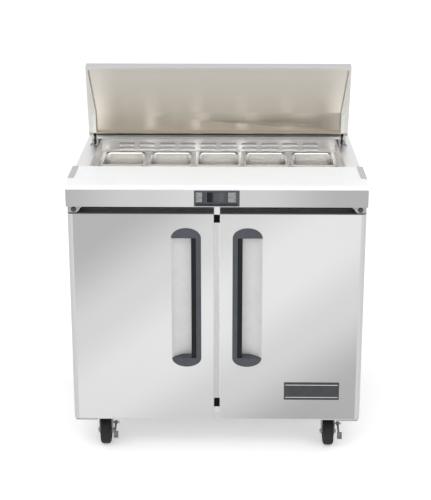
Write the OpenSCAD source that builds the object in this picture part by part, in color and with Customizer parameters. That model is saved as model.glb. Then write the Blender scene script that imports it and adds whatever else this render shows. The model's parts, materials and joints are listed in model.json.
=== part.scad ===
// Two-door refrigerated sandwich prep table.
// Frame: +Z up, -Y is the working front, origin on the floor under the centre of the table.

/* [Table] */
// Width of the work top and the front rail
table_w = 924; // [900:1:960]
// Depth from the front rail to the back of the rear hood
table_d = 758; // [750:1:790]
// Height of the steel work top above the floor
work_h = 901; // [895:1:940]
// Height of the front rail and the side skirts
rail_h = 56; // [50:1:60]
// Thickness of folded sheet steel
sheet = 1.5; // [1.2:0.1:2]

/* [Cabinet] */
// Width of the insulated cabinet
cabinet_w = 920; // [896:1:956]
// Underside of the cabinet above the floor
cabinet_z = 115; // [112:1:118]
// Thickness of the insulated walls
wall = 54; // [45:1:60]
// Width of the centre mullion between the two door openings
mullion_w = 60; // [50:1:70]

/* [Doors] */
// Height of each door
door_h = 700; // [680:1:704]
// Thickness of each door without its gasket
door_t = 50; // [45:1:52]
// Gap between the two doors
door_gap = 19; // [14:1:24]
// Radius of the rounded outer edge of a door
bullnose_r = 15; // [8:1:18]

/* [Pans and lid] */
// Depth of the pan rims below the work top
well_drop = 45; // [40:1:48]
// Number of pan columns across the table
pan_columns = 5; // [3:1:5]
// Depth of a pan from its rim to its floor
pan_h = 150; // [100:10:150]
// Angle that the lid stands open from its closed position
lid_open = 77; // [0:1:77]
// Front height of the lid
lid_front_h = 30; // [26:1:34]

/* [Casters] */
// Diameter of a caster wheel
wheel_d = 90; // [80:1:90]
// Distance of each caster's swivel axis from the centre line
caster_x = 365; // [340:1:380]

/* [Hidden] */
$fn = 48;

steel = "#c9c9cb";
steel_light = "#dcdcde";
liner_steel = "#b3aca1";
slate = "#4b4e54";
black = "#26272a";
foam = "#e6d9ae";
copper = "#b8764a";

// Depths are measured from the front rail, heights from the work top.
front_y = 2 - (table_d + 2) / 2;
back_y = front_y + table_d;
rail_z = work_h - rail_h;
half_w = table_w / 2;
half_cab = cabinet_w / 2;

bezel_proud = 2;
board_d = 210;
board_t = 12.7;

cab_front = front_y + 70;
cab_back = back_y - 8;
skin_t = 1.2;
inner_x = half_cab - wall;
floor_z = cabinet_z + wall - 4;
lintel_z = rail_z - 45;
lintel_d = 48;
upper_back = cab_back - 32;
lower_back = cab_back - 192;
step_z = cabinet_z + 325;

well_x = 416;
well_front = front_y + 244;
well_back = front_y + 612;
rim_z = work_h - well_drop;
rim_t = 1.5;
ledge_w = 14;
pan_w = 162;
pan_d = 176;
pan_pitch = 163.5;
pan_front_y = front_y + 248;
pan_rear_y = front_y + 427;
pan_flange = 11;
pan_taper = 8;
bar_y = front_y + 425.5;

pivot_y = front_y + 520;
pivot_z = work_h + 10;
lid_x = 445;
lid_f = 287.4;
lid_rim = -7;
strap_t = 2.2;
lid_back_r = 29;
lid_back_f = 20.5;
lid_back_h = 40;
lid_recess = 12;
lid_opening_x = 418;
lid_hem = 11;
lid_side_hem = 7;
lid_hem_bend = -112;
shelf_top = 34;
shelf_under = 25;
shelf_front = front_y + 506;
hood_x = 445;
hood_h = 125;
hood_foot = front_y + 560;
hood_brow = front_y + 577;
cheek_x = 418.2;

door_face = front_y + 10;
door_back = door_face + door_t;
door_z = 122;
door_top = door_z + door_h;
door_in = door_gap / 2;
hinge_x = half_cab - bullnose_r;
hinge_y = door_face + bullnose_r;
cap_t = 3;
pin_r = 4;
run_gap = 0.05;
gasket_t = 9.4;

handle_x0 = 49;
handle_bar = 65;
handle_floor = 80;
handle_x1 = 142;
handle_z0 = 308;
handle_z1 = 774;
pocket_z0 = 338;
pocket_z1 = 741;
pocket_depth = 36;

display_x = 69.5;
display_z0 = rail_z + 3;
display_z1 = work_h - 3;
key_h = 15.2;
key_z = [869, 885];
left_keys = [-54.5, 20];
right_keys = [46.5, 25];
window_z = [861, 893];
window_margin = 1;
lcd_x = [-30, 22];
strip_z = [850.5, 857.5];
rule_x = [-38, 31];
bezel_recess = 0.8;

wheel_r = wheel_d / 2;
wheel_w = 34;
trail = 28;
axle_r = 4;
king_r = 5;
caster_y = [cab_front + 38, cab_back - 72];

louver_w = 52;
louver_pitch = 72;
louver_r = 12;

// Mullion: grooves down its face, and a black block above and below them.
groove_x = [-6, -2, 2, 6];
groove_z = [168, 770];
block_z = [771, 798];
foot_block_z = [138, 167];

// Board clips: their start and length along the side, lap over the board and notch at the front.
clip_y = front_y + 78;
clip_l = 129;
clip_t = 2.4;
clip_lap = 16;
clip_notch = 6;
board_chamfer = 1.2;

// Lid arms and pivots, in the lid's frame.
strap_x = [419, 431];
strap_y = [-112, -40];
link_x = [424, 428];
link_end = -27.5;
eye_r = 8.5;
pin_eye_r = 3;

// Doors: inner panel, its recess, cap screws and hinge brackets.
panel_x = [62, 390];
panel_z = [190, 780];
panel_dish = 20;
screw_x = [60, 230, 400];
bracket_w = 53;
bracket_notch = 20;
foot_bracket_x = [half_cab - 75, half_cab - 6];
plate_x = [215, 391];
plate_z = [194, 254];

// Inside: shelves, cooling coils and fans.
shelf_z = 480;
shelf_wires = 14;
shelf_bar = 3;
wire_r = 1.5;
peg_z = [472.5, 476.9];
post_holes = [230 : 50 : 630];
coil_x = 330;
coil_z = [520, 700];
coil_d = 96;
cold_fan_z = 610;
cold_fan_r = 66;
pump_x = -205;
pump_y = cab_back - 86;
rad_x = [60, 300];
rad_h = 240;
rad_pitch = 20;
hot_fan_r = 95;
grille_x = 410;
grille_slot_w = 200;
grille_pitch = 21;

function caster_place(i) = [(i % 2 == 1 ? -1 : 1) * caster_x, caster_y[i <= 2 ? 0 : 1], 0];
function pan_x(i) = (i - (pan_columns + 1) / 2) * pan_pitch;

// A block between two corners.
module slab(low, high) {
  translate(low) cube(high - low);
}

// A YZ outline drawn out along X.
module along_x(x0, x1) {
  translate([x0, 0, 0]) rotate([90, 0, 90]) linear_extrude(x1 - x0) children();
}

// An XZ outline drawn out along Y.
module along_y(y0, y1) {
  translate([0, y1, 0]) rotate([90, 0, 0]) linear_extrude(y1 - y0) children();
}

// The same piece on the left and the right.
module both_sides() {
  children();
  mirror([1, 0, 0]) children();
}

module round_bar(from, length, r) {
  translate(from) rotate([0, 90, 0]) cylinder(h = length, r = r);
}

// ---- Cabinet ----

module cabinet_shell() {
  color(steel) difference() {
    slab([-half_cab, cab_front, cabinet_z], [half_cab, cab_back - sheet, work_h - sheet]);
    slab(
      [-half_cab + skin_t, cab_front + skin_t, cabinet_z + skin_t],
      [half_cab - skin_t, cab_back - sheet - skin_t, work_h]
    );
    slab([-inner_x, cab_front - 1, floor_z], [inner_x, cab_front + 2, lintel_z]);
    slab([-400, cab_back - 4, cabinet_z + 20], [400, cab_back + 1, step_z - 15]);
  }
}

// The space inside the liner, grown by a margin: shallow below the machine step, open above to the pans.
module cold_space(margin) {
  slab(
    [-inner_x - margin, cab_front - 1, floor_z - margin],
    [inner_x + margin, lower_back + margin, lintel_z + margin]
  );
  slab(
    [-inner_x - margin, cab_front - 1, step_z - margin],
    [inner_x + margin, upper_back + margin, lintel_z + margin]
  );
  slab(
    [-inner_x - margin, cab_front + lintel_d - margin, step_z],
    [inner_x + margin, upper_back + margin, rail_z + 1]
  );
}

module cabinet_foam() {
  color(foam) difference() {
    slab(
      [-half_cab + skin_t, cab_front + skin_t, cabinet_z + skin_t],
      [half_cab - skin_t, cab_back - sheet - skin_t, rail_z - 1]
    );
    cold_space(skin_t);
    slab(
      [-half_cab + 8, lower_back + wall - 20, cabinet_z],
      [half_cab - 8, cab_back + 1, step_z - wall + 20]
    );
  }
}

module cabinet_liner() {
  color(steel_light) difference() {
    intersection() {
      cold_space(skin_t);
      slab([-half_cab, cab_front + skin_t, cabinet_z], [half_cab, cab_back, rail_z - 1]);
    }
    cold_space(0);
  }
}

module mullion() {
  color(steel_light) difference() {
    slab([-mullion_w / 2, cab_front, floor_z], [mullion_w / 2, cab_front + lintel_d, lintel_z]);
    for (x = groove_x) slab([x - 0.8, cab_front - 1, groove_z[0]], [x + 0.8, cab_front + 1.2, groove_z[1]]);
    slab([-mullion_w / 2 - 1, cab_front - 1, block_z[0]], [mullion_w / 2 + 1, cab_front + 4, block_z[1]]);
  }
}

module mullion_blocks() {
  color(black) {
    slab([-mullion_w / 2, cab_front, block_z[0]], [mullion_w / 2, cab_front + 4, block_z[1]]);
    slab([-9, cab_front - 3, foot_block_z[0]], [9, cab_front, foot_block_z[1]]);
  }
}

// ---- Top ----

module top_deck() {
  color(steel_light) difference() {
    slab([-half_w, front_y, rail_z], [half_w, cab_back, work_h]);
    slab([-half_w + sheet, front_y + sheet, rail_z - 1], [half_w - sheet, cab_back - sheet, work_h - sheet]);
    slab([-well_x, well_front, rail_z], [well_x, well_back, work_h + 1]);
    slab([-display_x + 3, front_y - 1, display_z0 + 3], [display_x - 3, front_y + 3, display_z1 - 3]);
  }
  color(steel_light) slab(
    [-half_w + sheet, front_y + sheet, rail_z],
    [half_w - sheet, cab_front - 6, rail_z + sheet]
  );
}

module pan_well() {
  ledge_z = rim_z - rim_t;
  color(steel) difference() {
    slab([-well_x, well_front, ledge_z - sheet], [well_x, well_back, work_h - sheet]);
    slab([-well_x + sheet, well_front + sheet, ledge_z], [well_x - sheet, well_back + 1, work_h]);
    slab(
      [-well_x + ledge_w, well_front + ledge_w, ledge_z - 3],
      [well_x - ledge_w, well_back - ledge_w - 4.5, ledge_z + 1]
    );
    slab([-well_x + sheet, well_back - 2.5, ledge_z - 1], [well_x - sheet, well_back + 1, work_h]);
  }
}

module pan_bars() {
  top = rim_z - rim_t;
  tab = top - sheet;
  end = ledge_w + 0.5;
  color(steel) {
    slab([-well_x + end, bar_y - 9, top - 12], [well_x - end, bar_y + 9, top]);
    slab([-well_x + 5, bar_y - 9, tab - 3], [well_x - 5, bar_y + 9, tab]);
    for (i = [1 : pan_columns - 1]) {
      x = (pan_x(i) + pan_x(i + 1)) / 2;
      slab([x - 7, well_front + end, top - 8], [x + 7, well_back - end - 5, top]);
      slab([x - 7, well_front + 5, tab - 3], [x + 7, well_back - 5, tab]);
    }
  }
}

// The hood of one louver, pressed forward out of the sheet.
module louver_hood(x, z, y) {
  along_x(x - louver_w / 2, x + louver_w / 2) intersection() {
    difference() {
      translate([y + louver_r / 2, z]) circle(r = louver_r);
      translate([y + louver_r / 2, z]) circle(r = louver_r - 1);
    }
    translate([y - louver_r, z]) square([louver_r + 0.3, louver_r]);
  }
  for (side = [-1, 1]) along_x(x + side * (louver_w / 2 - 0.5) - 0.5, x + side * (louver_w / 2 - 0.5) + 0.5)
    intersection() {
      translate([y + louver_r / 2, z]) circle(r = louver_r);
      translate([y - louver_r, z]) square([louver_r + 0.3, louver_r]);
    }
}

module louver_panel() {
  y = well_back - 2;
  rows = [work_h - 27, rim_z + 1.5];
  color(steel) {
    difference() {
      slab([-well_x + 2, y, rim_z - rim_t], [well_x - 2, y + skin_t, work_h - sheet]);
      for (z = rows, i = [-4.5 : 1 : 4.5])
        slab(
          [i * louver_pitch - louver_w / 2 + 1, y - 1, z],
          [i * louver_pitch + louver_w / 2 - 1, y + 2, z + louver_r - 3.5]
        );
    }
    for (z = rows, i = [-4.5 : 1 : 4.5]) louver_hood(i * louver_pitch, z, y);
  }
}

module hood_outline(inset) {
  polygon([
    [hood_foot + inset * 1.2, work_h - (inset > 0 ? 1 : 0)],
    [hood_foot + inset * 1.2, work_h + shelf_top - 4],
    [hood_brow + inset * 1.1, work_h + hood_h - inset],
    [back_y - inset, work_h + hood_h - inset],
    [back_y - inset, work_h - (inset > 0 ? 1 : 0)]
  ]);
}

module rear_hood() {
  color(steel) {
    difference() {
      along_x(-hood_x, hood_x) hood_outline(0);
      along_x(-hood_x + skin_t, hood_x - skin_t) hood_outline(skin_t);
      slab(
        [-cheek_x + skin_t, hood_foot - 1, work_h - 1],
        [cheek_x - skin_t, hood_foot + 6, work_h + shelf_under]
      );
    }
    slab(
      [-cheek_x, shelf_front, work_h + shelf_under],
      [cheek_x, hood_foot + 0.5, work_h + shelf_top]
    );
    both_sides() slab(
      [cheek_x - skin_t, shelf_front + 1, work_h],
      [cheek_x, hood_foot + 0.5, work_h + shelf_under]
    );
  }
}

module board_clips() {
  top = work_h + board_t + 0.4;
  color(steel_light) both_sides() {
    slab([half_w, clip_y, work_h - 22], [half_w + clip_t, clip_y + clip_l, top]);
    translate([0, 0, top]) linear_extrude(1.6) difference() {
      translate([half_w - clip_lap, clip_y]) square([clip_lap + clip_t, clip_l]);
      difference() {
        translate([half_w - clip_lap - 1, clip_y - 1]) square([clip_notch + 1, clip_notch + 1]);
        translate([half_w - clip_lap + clip_notch, clip_y + clip_notch]) circle(r = clip_notch);
      }
    }
  }
}

// The board, with its long edges eased below so that a fine line parts it from the rail.
module cutting_board() {
  color("#f7f7f5") along_x(-half_w + 0.4, half_w - 0.4) polygon([
    [front_y + board_chamfer, work_h],
    [front_y, work_h + board_chamfer],
    [front_y, work_h + board_t],
    [front_y + board_d, work_h + board_t],
    [front_y + board_d, work_h + board_chamfer],
    [front_y + board_d - board_chamfer, work_h]
  ]);
}

// ---- Controller ----

// A see-through window in the bezel, between two places across it.
module bezel_window(x0, x1) {
  slab([x0, front_y - bezel_proud - 1, window_z[0]], [x1, front_y + 1, window_z[1]]);
}

// A shallow recess in the bezel's face.
module bezel_recess(x, z) {
  slab([x[0], front_y - bezel_proud - 1, z[0]], [x[1], front_y - bezel_proud + bezel_recess, z[1]]);
}

module control_bezel() {
  color(slate) difference() {
    slab([-display_x, front_y - bezel_proud, display_z0], [display_x, front_y, display_z1]);
    bezel_window(lcd_x[0], lcd_x[1]);
    for (keys = [left_keys, right_keys])
      bezel_window(keys[0] - keys[1] / 2 - window_margin, keys[0] + keys[1] / 2 + window_margin);
    bezel_recess([-display_x + 5, display_x - 5], strip_z);
    for (x = rule_x) bezel_recess([x - 3, x + 3], window_z);
  }
}

// The controller's body behind the rail, with a hollow behind each key.
module control_display() {
  color("#3b4250") difference() {
    slab([-display_x + 3.4, front_y, display_z0 + 3.4], [display_x - 3.4, front_y + 22, display_z1 - 3.4]);
    for (keys = [left_keys, right_keys], z = key_z) slab(
      [keys[0] - keys[1] / 2 - window_margin, front_y - 1, z - key_h / 2 - 0.6],
      [keys[0] + keys[1] / 2 + window_margin, front_y + 6, z + key_h / 2 + 0.6]
    );
  }
}

module button(keys, z) {
  color("#b9bdc0") slab(
    [keys[0] - keys[1] / 2, front_y - bezel_proud + 0.4, z - key_h / 2],
    [keys[0] + keys[1] / 2, front_y + 4, z + key_h / 2]
  );
}

module button_up() { button(left_keys, key_z[1]); }
module button_down() { button(left_keys, key_z[0]); }
module button_set() { button(right_keys, key_z[1]); }
module button_light() { button(right_keys, key_z[0]); }

// ---- Pans ----

// A tapered block with its top centred on the origin, w by d at the top and falling h.
module tapered(w, d, h, taper) {
  intersection() {
    along_y(-d, d) polygon([[-w / 2, 0], [w / 2, 0], [w / 2 - taper, -h], [-w / 2 + taper, -h]]);
    along_x(-w, w) polygon([[-d / 2, 0], [d / 2, 0], [d / 2 - taper, -h], [-d / 2 + taper, -h]]);
  }
}

module pan_rim_outline() {
  r = 12;
  square([pan_w - 2 * r, pan_d], center = true);
  square([pan_w, pan_d - 2 * r], center = true);
  for (x = [-1, 1], y = [-1, 1]) translate([x * (pan_w / 2 - r), y * (pan_d / 2 - r)]) circle(r = r);
}

module pan(i, y0) {
  body_w = pan_w - 2 * pan_flange;
  body_d = pan_d - 2 * pan_flange;
  color(steel) translate([pan_x(i), y0 + pan_d / 2, rim_z]) difference() {
    union() {
      translate([0, 0, -rim_t]) linear_extrude(rim_t) pan_rim_outline();
      tapered(body_w, body_d, pan_h, pan_taper);
    }
    translate([0, 0, 0.1]) tapered(body_w - 2.4, body_d - 2.4, pan_h - 1.1, pan_taper);
  }
}

module pan_front_1() { pan(1, pan_front_y); }
module pan_front_2() { pan(2, pan_front_y); }
module pan_front_3() { pan(3, pan_front_y); }
module pan_front_4() { pan(4, pan_front_y); }
module pan_front_5() { pan(5, pan_front_y); }

module pans_rear() {
  for (i = [1 : pan_columns]) pan(i, pan_rear_y);
}

// ---- Lid ----

// Places a piece drawn about the lid's pivot, with -Y towards the front when closed.
module on_lid() {
  translate([0, pivot_y, pivot_z]) rotate([-lid_open, 0, 0]) children();
}

// Side outline of the lid, drawn smaller by an inset; its back end follows the swing about the pivot.
module lid_outline(inset) {
  difference() {
    polygon([
      [-lid_f + inset, lid_rim - (inset > 0 ? 1 : 0)],
      [-lid_f + inset, lid_rim + lid_front_h - inset],
      [-lid_back_f - inset, lid_back_h - inset],
      [-lid_back_f - inset, lid_rim - (inset > 0 ? 1 : 0)]
    ]);
    circle(r = lid_back_r + inset);
  }
}

module lid_skin() {
  color(steel) on_lid() difference() {
    along_x(-lid_x, lid_x) lid_outline(0);
    along_x(-lid_x + skin_t, lid_x - skin_t) lid_outline(skin_t);
  }
}

// The recess in the lid's liner: its side hems are narrow at the free edge and widen towards the arms.
module liner_opening() {
  hem_end = -lid_back_r - 12;
  hem_front = -lid_f + lid_hem;
  polygon([
    [-lid_opening_x, hem_end],
    [-lid_opening_x, lid_hem_bend],
    [-lid_x + lid_side_hem, hem_front],
    [lid_x - lid_side_hem, hem_front],
    [lid_opening_x, lid_hem_bend],
    [lid_opening_x, hem_end]
  ]);
}

module lid_liner() {
  color(liner_steel) on_lid() difference() {
    along_x(-lid_x + skin_t, lid_x - skin_t) intersection() {
      lid_outline(skin_t);
      translate([-lid_f, lid_rim]) square([lid_f, 60]);
    }
    translate([0, 0, lid_rim - 1]) linear_extrude(lid_recess + 1) liner_opening();
    slab([-lid_opening_x, -lid_back_r - 6.5, lid_rim - 1], [lid_opening_x, -lid_back_r - 2, lid_rim + 3]);
  }
}

module lid_gasket() {
  color(black) on_lid() slab(
    [-lid_opening_x, -lid_back_r - 6.5, lid_rim - 1.2],
    [lid_opening_x, -lid_back_r - 2, lid_rim + 3]
  );
}

module lid_arms() {
  on_lid() both_sides() {
    color(steel_light) slab([strap_x[0], strap_y[0], lid_rim - strap_t], [strap_x[1], strap_y[1], lid_rim]);
    color(black) difference() {
      union() {
        along_x(link_x[0], link_x[1]) circle(r = eye_r);
        slab([link_x[0], link_end, lid_rim - strap_t], [link_x[1], 0, 4]);
        slab([strap_x[0] + 1, strap_y[1], lid_rim - strap_t], [strap_x[1] - 1, link_end, lid_rim]);
      }
      round_bar([link_x[0] - 1, 0, 0], 6, pin_eye_r + run_gap);
    }
  }
}

module lid_pivots() {
  color(steel_light) both_sides() {
    slab([430, pivot_y - 12, work_h], [444, pivot_y + 12, work_h + 2]);
    along_x(430, 433) {
      translate([pivot_y, pivot_z]) circle(r = 9);
      translate([pivot_y - 9, work_h]) square([18, 10]);
    }
    round_bar([421, pivot_y, pivot_z], 10, pin_eye_r);
    round_bar([433, pivot_y, pivot_z], 4, 5.5);
    round_bar([420, pivot_y, pivot_z], 2, 5);
  }
}

// ---- Doors, drawn on the right; the left one is their mirror image ----

module door_outline(inset) {
  translate([door_in + inset, door_face + inset])
    square([hinge_x - door_in - inset, door_t - 2 - inset]);
  translate([door_in + inset, hinge_y]) square([half_cab - door_in - 2 * inset, door_back - 2 - hinge_y]);
  translate([hinge_x, hinge_y]) circle(r = bullnose_r - inset);
}

// Radius of the pocket's hollow, which starts flush at the far side and is deepest at the grip.
function pocket_r() = ((handle_x1 - handle_floor) ^ 2 + pocket_depth ^ 2) / (2 * pocket_depth);

module pocket_sheet() {
  floor_y = door_face + pocket_depth;
  intersection() {
    difference() {
      translate([handle_floor, floor_y - pocket_r()]) circle(r = pocket_r() + skin_t, $fn = 96);
      translate([handle_floor, floor_y - pocket_r()]) circle(r = pocket_r(), $fn = 96);
    }
    translate([handle_floor, door_face]) square([handle_x1 - handle_floor + 2, pocket_depth + 2]);
  }
}

// Face outline of the handle: straight sides that end in half-ellipse caps.
module grip_outline() {
  mid_x = (handle_x0 + handle_x1) / 2;
  half_x = (handle_x1 - handle_x0) / 2;
  cap_rise = handle_z1 - pocket_z1;
  cap_drop = pocket_z0 - handle_z0;
  polygon(concat(
    [for (a = [0 : 10 : 180]) [mid_x + half_x * cos(a), pocket_z1 + cap_rise * sin(a)]],
    [for (a = [180 : 10 : 360]) [mid_x + half_x * cos(a), pocket_z0 + cap_drop * sin(a)]]
  ));
}

module door_skin() {
  color(steel) {
    difference() {
      translate([0, 0, door_z + cap_t]) linear_extrude(door_h - 2 * cap_t) difference() {
        door_outline(0);
        door_outline(skin_t);
        translate([door_in + skin_t, door_back - 8]) square([half_cab - door_in - 2 * skin_t, 10]);
      }
      along_y(door_face - 1, door_face + 3) grip_outline();
    }
    translate([0, 0, pocket_z0]) linear_extrude(pocket_z1 - pocket_z0) pocket_sheet();
  }
}

module door_liner() {
  color("#eceae6") difference() {
    union() {
      translate([0, 0, door_z + cap_t]) linear_extrude(door_h - 2 * cap_t) door_outline(skin_t);
      slab(
        [door_in + skin_t, door_back - 2, door_z + cap_t],
        [half_cab - skin_t, door_back, door_top - cap_t]
      );
      slab([panel_x[0], door_back - 1, panel_z[0]], [panel_x[1], door_back + 10, panel_z[1]]);
    }
    slab(
      [handle_x0 - 0.5, door_face, handle_z0 - 0.5],
      [handle_x1 + 2, door_face + pocket_depth + skin_t + 0.3, handle_z1 + 0.5]
    );
    for (z = [door_z, door_top - 15]) translate([hinge_x, hinge_y, z]) cylinder(h = 15, r = 9);
    slab(
      [panel_x[0] + panel_dish, door_back + 4, panel_z[0] + panel_dish],
      [panel_x[1] - panel_dish, door_back + 11, panel_z[1] - panel_dish]
    );
  }
}

module door_gasket() {
  x0 = door_in + 6;
  x1 = half_cab - 12;
  color(black) difference() {
    slab([x0, door_back, door_z + 10], [x1, door_back + gasket_t, door_top - 10]);
    slab([x0 + 14, door_back - 1, door_z + 24], [x1 - 14, door_back + gasket_t + 1, door_top - 24]);
  }
}

// A grip bar with a step behind its inner edge, two end caps, and the pocket's end wall and floor under the bar.
module door_handle() {
  proud = door_face - 1.5;
  step_y = door_face + 3;
  bar_back = door_face + 6;
  floor_y = door_face + pocket_depth;
  color(slate) {
    intersection() {
      along_y(proud, door_face + 30) grip_outline();
      for (z = [[handle_z0, pocket_z0], [pocket_z1, handle_z1]])
        slab([handle_x0, proud, z[0]], [handle_x1, door_face + 30, z[1]]);
    }
    slab([handle_x0, proud, pocket_z0], [handle_bar, bar_back, pocket_z1]);
    slab([handle_bar, step_y, pocket_z0], [handle_floor, bar_back, pocket_z1]);
    slab([handle_x0, door_face, pocket_z0], [handle_x0 + 3, floor_y, pocket_z1]);
    slab([handle_x0, floor_y - 3, pocket_z0], [handle_floor - 0.2, floor_y, pocket_z1]);
  }
}

module end_cap(z_plate, z_boss) {
  difference() {
    union() {
      translate([0, 0, z_plate]) linear_extrude(cap_t) door_outline(0);
      translate([hinge_x, hinge_y, z_boss]) cylinder(h = 12, r = 8);
    }
    translate([hinge_x, hinge_y, z_boss - 1]) cylinder(h = 14 + cap_t, r = pin_r + run_gap);
  }
}

module door_caps() {
  color("#3c3e42") {
    difference() {
      end_cap(door_top - cap_t, door_top - 12);
      for (x = screw_x) translate([x, hinge_y + 8, door_top - 1.2]) cylinder(h = 2, r = 3.6);
    }
    end_cap(door_z, door_z);
  }
  color(steel) for (x = screw_x) difference() {
    translate([x, hinge_y + 8, door_top - 1.2]) cylinder(h = 1, r = 3.4);
    slab([x - 4, hinge_y + 7.6, door_top - 0.7], [x + 4, hinge_y + 8.4, door_top + 1]);
  }
}

module door_right_skin() { door_skin(); }
module door_right_liner() { door_liner(); }
module door_right_gasket() { door_gasket(); }
module door_right_handle() { door_handle(); }
module door_right_caps() { door_caps(); }
module door_left_skin() { mirror([1, 0, 0]) door_skin(); }
module door_left_liner() { mirror([1, 0, 0]) door_liner(); }
module door_left_gasket() { mirror([1, 0, 0]) door_gasket(); }
module door_left_handle() { mirror([1, 0, 0]) door_handle(); }
module door_left_caps() { mirror([1, 0, 0]) door_caps(); }

module door_hinges() {
  color("#cfd1d3") both_sides() {
    along_y(door_face + 2, cab_front) difference() {
      polygon([
        [half_cab - 2, rail_z],
        [half_cab - 2, door_top + 1],
        [half_cab - 2 - bracket_w / 2, door_top + 1],
        [half_cab - 2 - bracket_w, rail_z]
      ]);
      translate([half_cab - 2 - bracket_w, door_top + 1]) circle(r = bracket_notch);
    }
    translate([hinge_x, hinge_y, door_top - 9]) cylinder(h = 12, r = pin_r);
    slab(
      [foot_bracket_x[0], door_face + 2, door_z - 4.5],
      [foot_bracket_x[1], cab_front, door_z - 1.5]
    );
    slab(
      [foot_bracket_x[0], cab_front - 3.5, door_z - 4.5],
      [foot_bracket_x[1], cab_front, door_z + 9]
    );
    translate([hinge_x, hinge_y, door_z - 2]) cylinder(h = 10, r = pin_r);
  }
}

module name_plate() {
  color(slate) difference() {
    slab([plate_x[0], door_face - 2, plate_z[0]], [plate_x[1], door_face, plate_z[1]]);
    for (z = [plate_z[0] + 7, plate_z[1] - 10])
      slab([plate_x[0] + 4, door_face - 3, z], [plate_x[1] - 4, door_face - 1.2, z + 3]);
  }
}

// ---- Inside the cabinet ----

module wire_shelf() {
  x0 = mullion_w / 2 + 5;
  x1 = inner_x - 10;
  y0 = cab_front + 28;
  y1 = lower_back - 12;
  bar = [shelf_bar, shelf_bar, shelf_bar];
  for (y = [y0, (y0 + y1) / 2, y1]) slab([x0, y, shelf_z] - [0, bar.y, bar.z], [x1, y, shelf_z] + [0, bar.y, bar.z]);
  for (x = [x0, x1]) slab([x, y0 - 3, shelf_z] - bar, [x, y1 + 3, shelf_z] + bar);
  for (i = [1 : shelf_wires])
    translate([x0 + (x1 - x0) * i / (shelf_wires + 1), y0 - 2, shelf_z + 3.6])
      rotate([-90, 0, 0]) cylinder(h = y1 - y0 + 4, r = wire_r);
}

module shelves() {
  color(steel_light) both_sides() wire_shelf();
}

module shelf_supports() {
  color(steel_light) both_sides() for (y = [cab_front + 70, lower_back - 60]) {
    difference() {
      slab([inner_x - 4, y - 8, floor_z + 20], [inner_x, y + 8, rim_z - 170]);
      for (z = post_holes) slab([inner_x - 5, y - 4, z], [inner_x - 2, y + 4, z + 10]);
    }
    slab([inner_x - 14, y - 7, peg_z[0]], [inner_x - 4, y + 7, peg_z[1]]);
    slab([mullion_w / 2 - 2, y - 7, peg_z[0]], [mullion_w / 2 + 8, y + 7, peg_z[1]]);
  }
  color(steel_light) slab([-mullion_w / 2 + 2, cab_front + 48, 460], [mullion_w / 2 - 2, lower_back, 476.5]);
}

module evaporator() {
  y0 = upper_back - coil_d;
  color("#d8dadc") difference() {
    slab([-coil_x, y0, coil_z[0]], [coil_x, upper_back, coil_z[1]]);
    slab([-coil_x + skin_t, y0 + skin_t, coil_z[0] + skin_t], [coil_x - skin_t, upper_back - 1, coil_z[1] + 1]);
    translate([0, y0 + 4, cold_fan_z]) rotate([90, 0, 0]) cylinder(h = 8, r = cold_fan_r + 8);
  }
  color("#b9bdc2") {
    for (x = [-300 : 24 : 300]) slab([x - 0.6, y0 + 46, coil_z[0] + 16], [x + 0.6, upper_back - 6, coil_z[1] - 10]);
    for (z = [-50, 0, 50]) round_bar([-coil_x + 1, y0 + 70, cold_fan_z + z], 2 * coil_x - 2, 6);
    translate([0, y0 + 47, cold_fan_z]) rotate([90, 0, 0]) cylinder(h = 14, r = 20);
  }
}

// A propeller turning about the Y axis.
module propeller(r, blade_d) {
  rotate([90, 0, 0]) cylinder(h = 22, r = r * 0.28, center = true);
  for (i = [0 : 4]) rotate([0, i * 72, 0]) translate([r * 0.6, 0, 0]) rotate([28, 0, 0])
    cube([r * 0.78, 1.6, blade_d], center = true);
}

module evaporator_fan() {
  color(black) translate([0, upper_back - coil_d + 21, cold_fan_z]) propeller(cold_fan_r, 40);
}

module compressor() {
  x = pump_x;
  y = pump_y;
  z = cabinet_z + skin_t;
  color("#1f2023") {
    translate([x, y, z + 22]) rotate_extrude() {
      square([62, 130]);
      translate([0, 130]) square([44, 18]);
      translate([44, 130]) intersection() {
        circle(r = 18);
        square([18, 18]);
      }
    }
    slab([x - 85, y - 68, z + 16], [x + 85, y + 68, z + 22]);
    for (dx = [-70, 70], dy = [-54, 54]) translate([x + dx, y + dy, z]) cylinder(h = 16, r = 10);
  }
  color(copper) {
    translate([x + 30, y - 20, z + 165]) cylinder(h = 50, r = 4);
    round_bar([x + 30, y - 20, z + 211], 160, 4);
  }
}

module condenser() {
  x0 = rad_x[0];
  x1 = rad_x[1];
  y0 = cab_back - 62;
  y1 = cab_back - 14;
  z0 = cabinet_z + skin_t;
  z1 = z0 + rad_h;
  color("#7e8388") {
    for (x = [x0, x1 - 2]) slab([x, y0, z0], [x + 2, y1, z1]);
    for (z = [z0, z1 - 2]) slab([x0, y0, z], [x1, y1, z + 2]);
    for (z = [z0 + rad_pitch : rad_pitch : z1 - 1]) slab([x0 + 1, y0 + 3, z - 0.6], [x1 - 1, y1 - 3, z + 0.6]);
    translate([(x0 + x1) / 2, y0 + 4, z0 + rad_h / 2]) rotate([90, 0, 0]) cylinder(h = 22, r = 24);
  }
  color(copper) for (x = [x0 + 40, x0 + 120, x0 + 200])
    translate([x, (y0 + y1) / 2, z0 + 1]) cylinder(h = z1 - z0 - 2, r = 5);
}

module condenser_fan() {
  color(slate) translate([(rad_x[0] + rad_x[1]) / 2, cab_back - 92, cabinet_z + skin_t + rad_h / 2])
    propeller(hot_fan_r, 50);
}

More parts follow.
